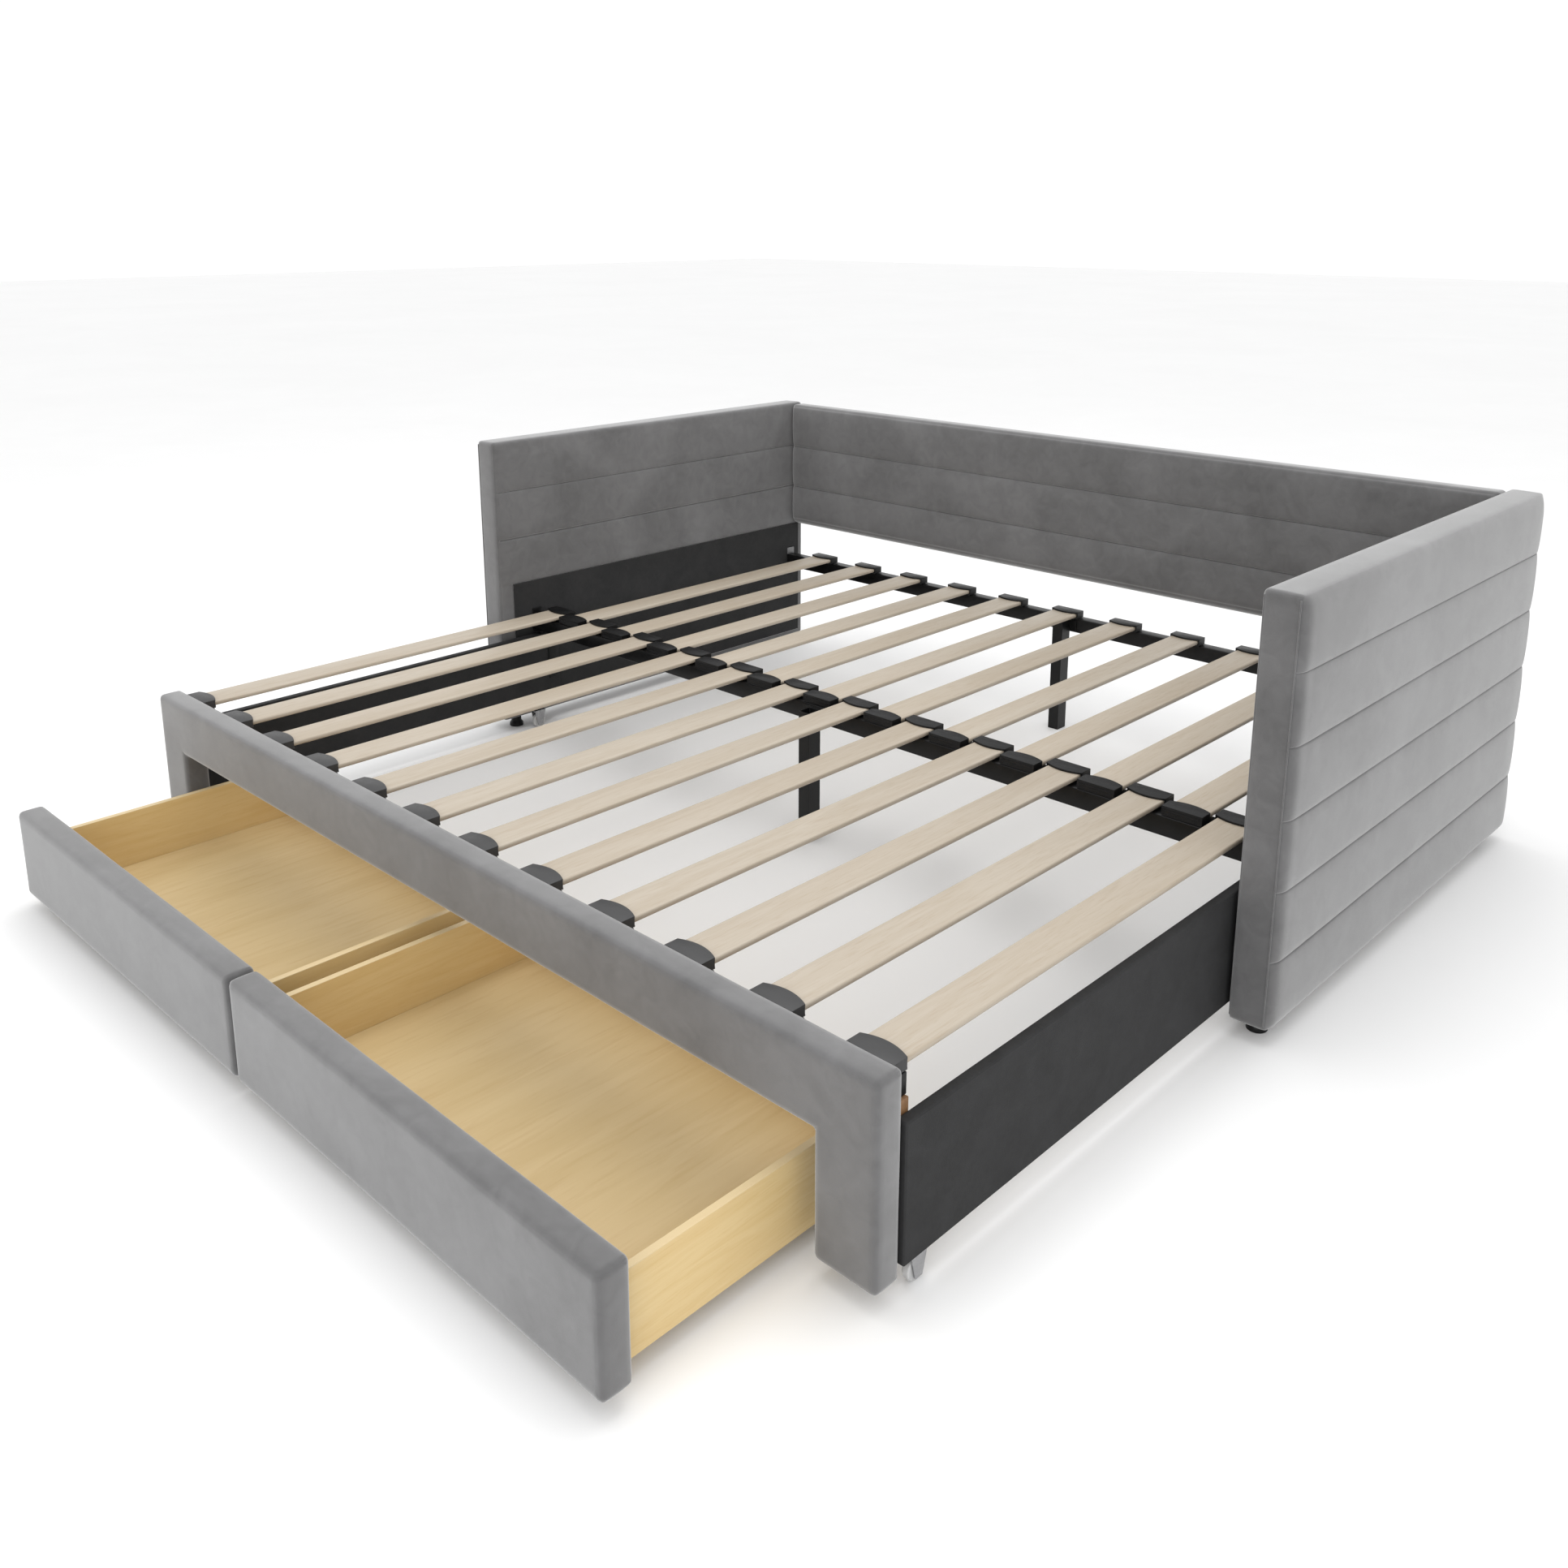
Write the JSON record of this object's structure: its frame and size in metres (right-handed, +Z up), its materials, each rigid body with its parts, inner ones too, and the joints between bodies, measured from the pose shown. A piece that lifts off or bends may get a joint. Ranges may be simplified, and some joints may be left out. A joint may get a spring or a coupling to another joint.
{
  "type": "trundle bed",
  "caption": "Upholstered daybed with a pull-out slatted front on castors and storage drawers under it; the slats interleave when it is pushed in.",
  "frame": {"origin": "on the floor, at the middle of the footprint of the bed pulled out with its drawers open", "axes": "+Z up, +Y towards the backrest, +X to the right of someone facing the bed"},
  "size_m": [2.2016, 2.3646, 0.773],
  "materials": {
    "velvet": "mid-grey short-pile velvet",
    "lining": "black non-woven lining",
    "side_board": "charcoal faux-linen wrapped board",
    "core_board": "raw board core",
    "ledger_board": "brown stained board",
    "slat_wood": "pale birch, sealed",
    "drawer_wood": "golden pine, clear lacquer",
    "black_steel": "black powder coat",
    "black_plastic": "black moulded plastic",
    "bright_zinc": "bright zinc plated steel",
    "wheel_plastic": "pale grey nylon"
  },
  "bodies": {
    "daybed": {"backrest_core": "core_board", "backrest_cover": "velvet", "fixed_front_rail": "black_steel", "fixed_rear_rail": "black_steel", "fixed_slat_01": "slat_wood", "fixed_slat_02": "slat_wood", "fixed_slat_03": "slat_wood", "fixed_slat_04": "slat_wood", "fixed_slat_05": "slat_wood", "fixed_slat_06": "slat_wood", "fixed_slat_07": "slat_wood", "fixed_slat_08": "slat_wood", "fixed_slat_09": "slat_wood", "fixed_slat_10": "slat_wood", "fixed_slat_11": "slat_wood", "left_arm_core": "core_board", "left_arm_cover": "velvet", "left_arm_lining": "lining", "levelling_foot_front_left": "black_plastic", "levelling_foot_front_right": "black_plastic", "levelling_foot_rear_left": "black_plastic", "levelling_foot_rear_right": "black_plastic", "middle_leg": "black_steel", "rear_leg": "black_steel", "right_arm_core": "core_board", "right_arm_cover": "velvet", "right_arm_lining": "lining"},
    "pull_out": {"castor_fork_front_left": "bright_zinc", "castor_fork_front_right": "bright_zinc", "castor_fork_rear_left": "bright_zinc", "castor_fork_rear_right": "bright_zinc", "front_panel_core": "core_board", "front_panel_cover": "velvet", "left_side_board": "side_board", "moving_slat_01": "slat_wood", "moving_slat_02": "slat_wood", "moving_slat_03": "slat_wood", "moving_slat_04": "slat_wood", "moving_slat_05": "slat_wood", "moving_slat_06": "slat_wood", "moving_slat_07": "slat_wood", "moving_slat_08": "slat_wood", "moving_slat_09": "slat_wood", "moving_slat_10": "slat_wood", "moving_slat_11": "slat_wood", "moving_slat_12": "slat_wood", "right_side_board": "side_board", "slat_ledger": "ledger_board", "sliding_rail": "black_steel"},
    "left_drawer": {"left_drawer_base": "drawer_wood", "left_drawer_box": "drawer_wood", "left_drawer_front": "velvet"},
    "right_drawer": {"right_drawer_base": "drawer_wood", "right_drawer_box": "drawer_wood", "right_drawer_front": "velvet"},
    "castor_wheel_front_left": {"castor_wheel_front_left": "wheel_plastic"},
    "castor_wheel_front_right": {"castor_wheel_front_right": "wheel_plastic"},
    "castor_wheel_rear_left": {"castor_wheel_rear_left": "wheel_plastic"},
    "castor_wheel_rear_right": {"castor_wheel_rear_right": "wheel_plastic"}
  },
  "joints": [
    {"name": "pull_out_slide", "type": "slide", "parent": "daybed", "child": "pull_out", "axis": [0, 1, 0], "range_m": [0, 0.86]},
    {"name": "left_drawer_slide", "type": "slide", "parent": "pull_out", "child": "left_drawer", "axis": [0, 1, 0], "range_m": [-0.06, 0.3365]},
    {"name": "right_drawer_slide", "type": "slide", "parent": "pull_out", "child": "right_drawer", "axis": [0, 1, 0], "range_m": [-0.06, 0.3365]},
    {"name": "castor_front_left_spin", "type": "hinge", "parent": "pull_out", "child": "castor_wheel_front_left", "pos_m": [-1.0011, -0.75575, 0.018], "axis": [1, 0, 0], "continuous": true},
    {"name": "castor_rear_left_spin", "type": "hinge", "parent": "pull_out", "child": "castor_wheel_rear_left", "pos_m": [-1.0011, 0.13245, 0.018], "axis": [1, 0, 0], "continuous": true},
    {"name": "castor_front_right_spin", "type": "hinge", "parent": "pull_out", "child": "castor_wheel_front_right", "pos_m": [1.0011, -0.75575, 0.018], "axis": [1, 0, 0], "continuous": true},
    {"name": "castor_rear_right_spin", "type": "hinge", "parent": "pull_out", "child": "castor_wheel_rear_right", "pos_m": [1.0011, 0.13245, 0.018], "axis": [1, 0, 0], "continuous": true}
  ]
}
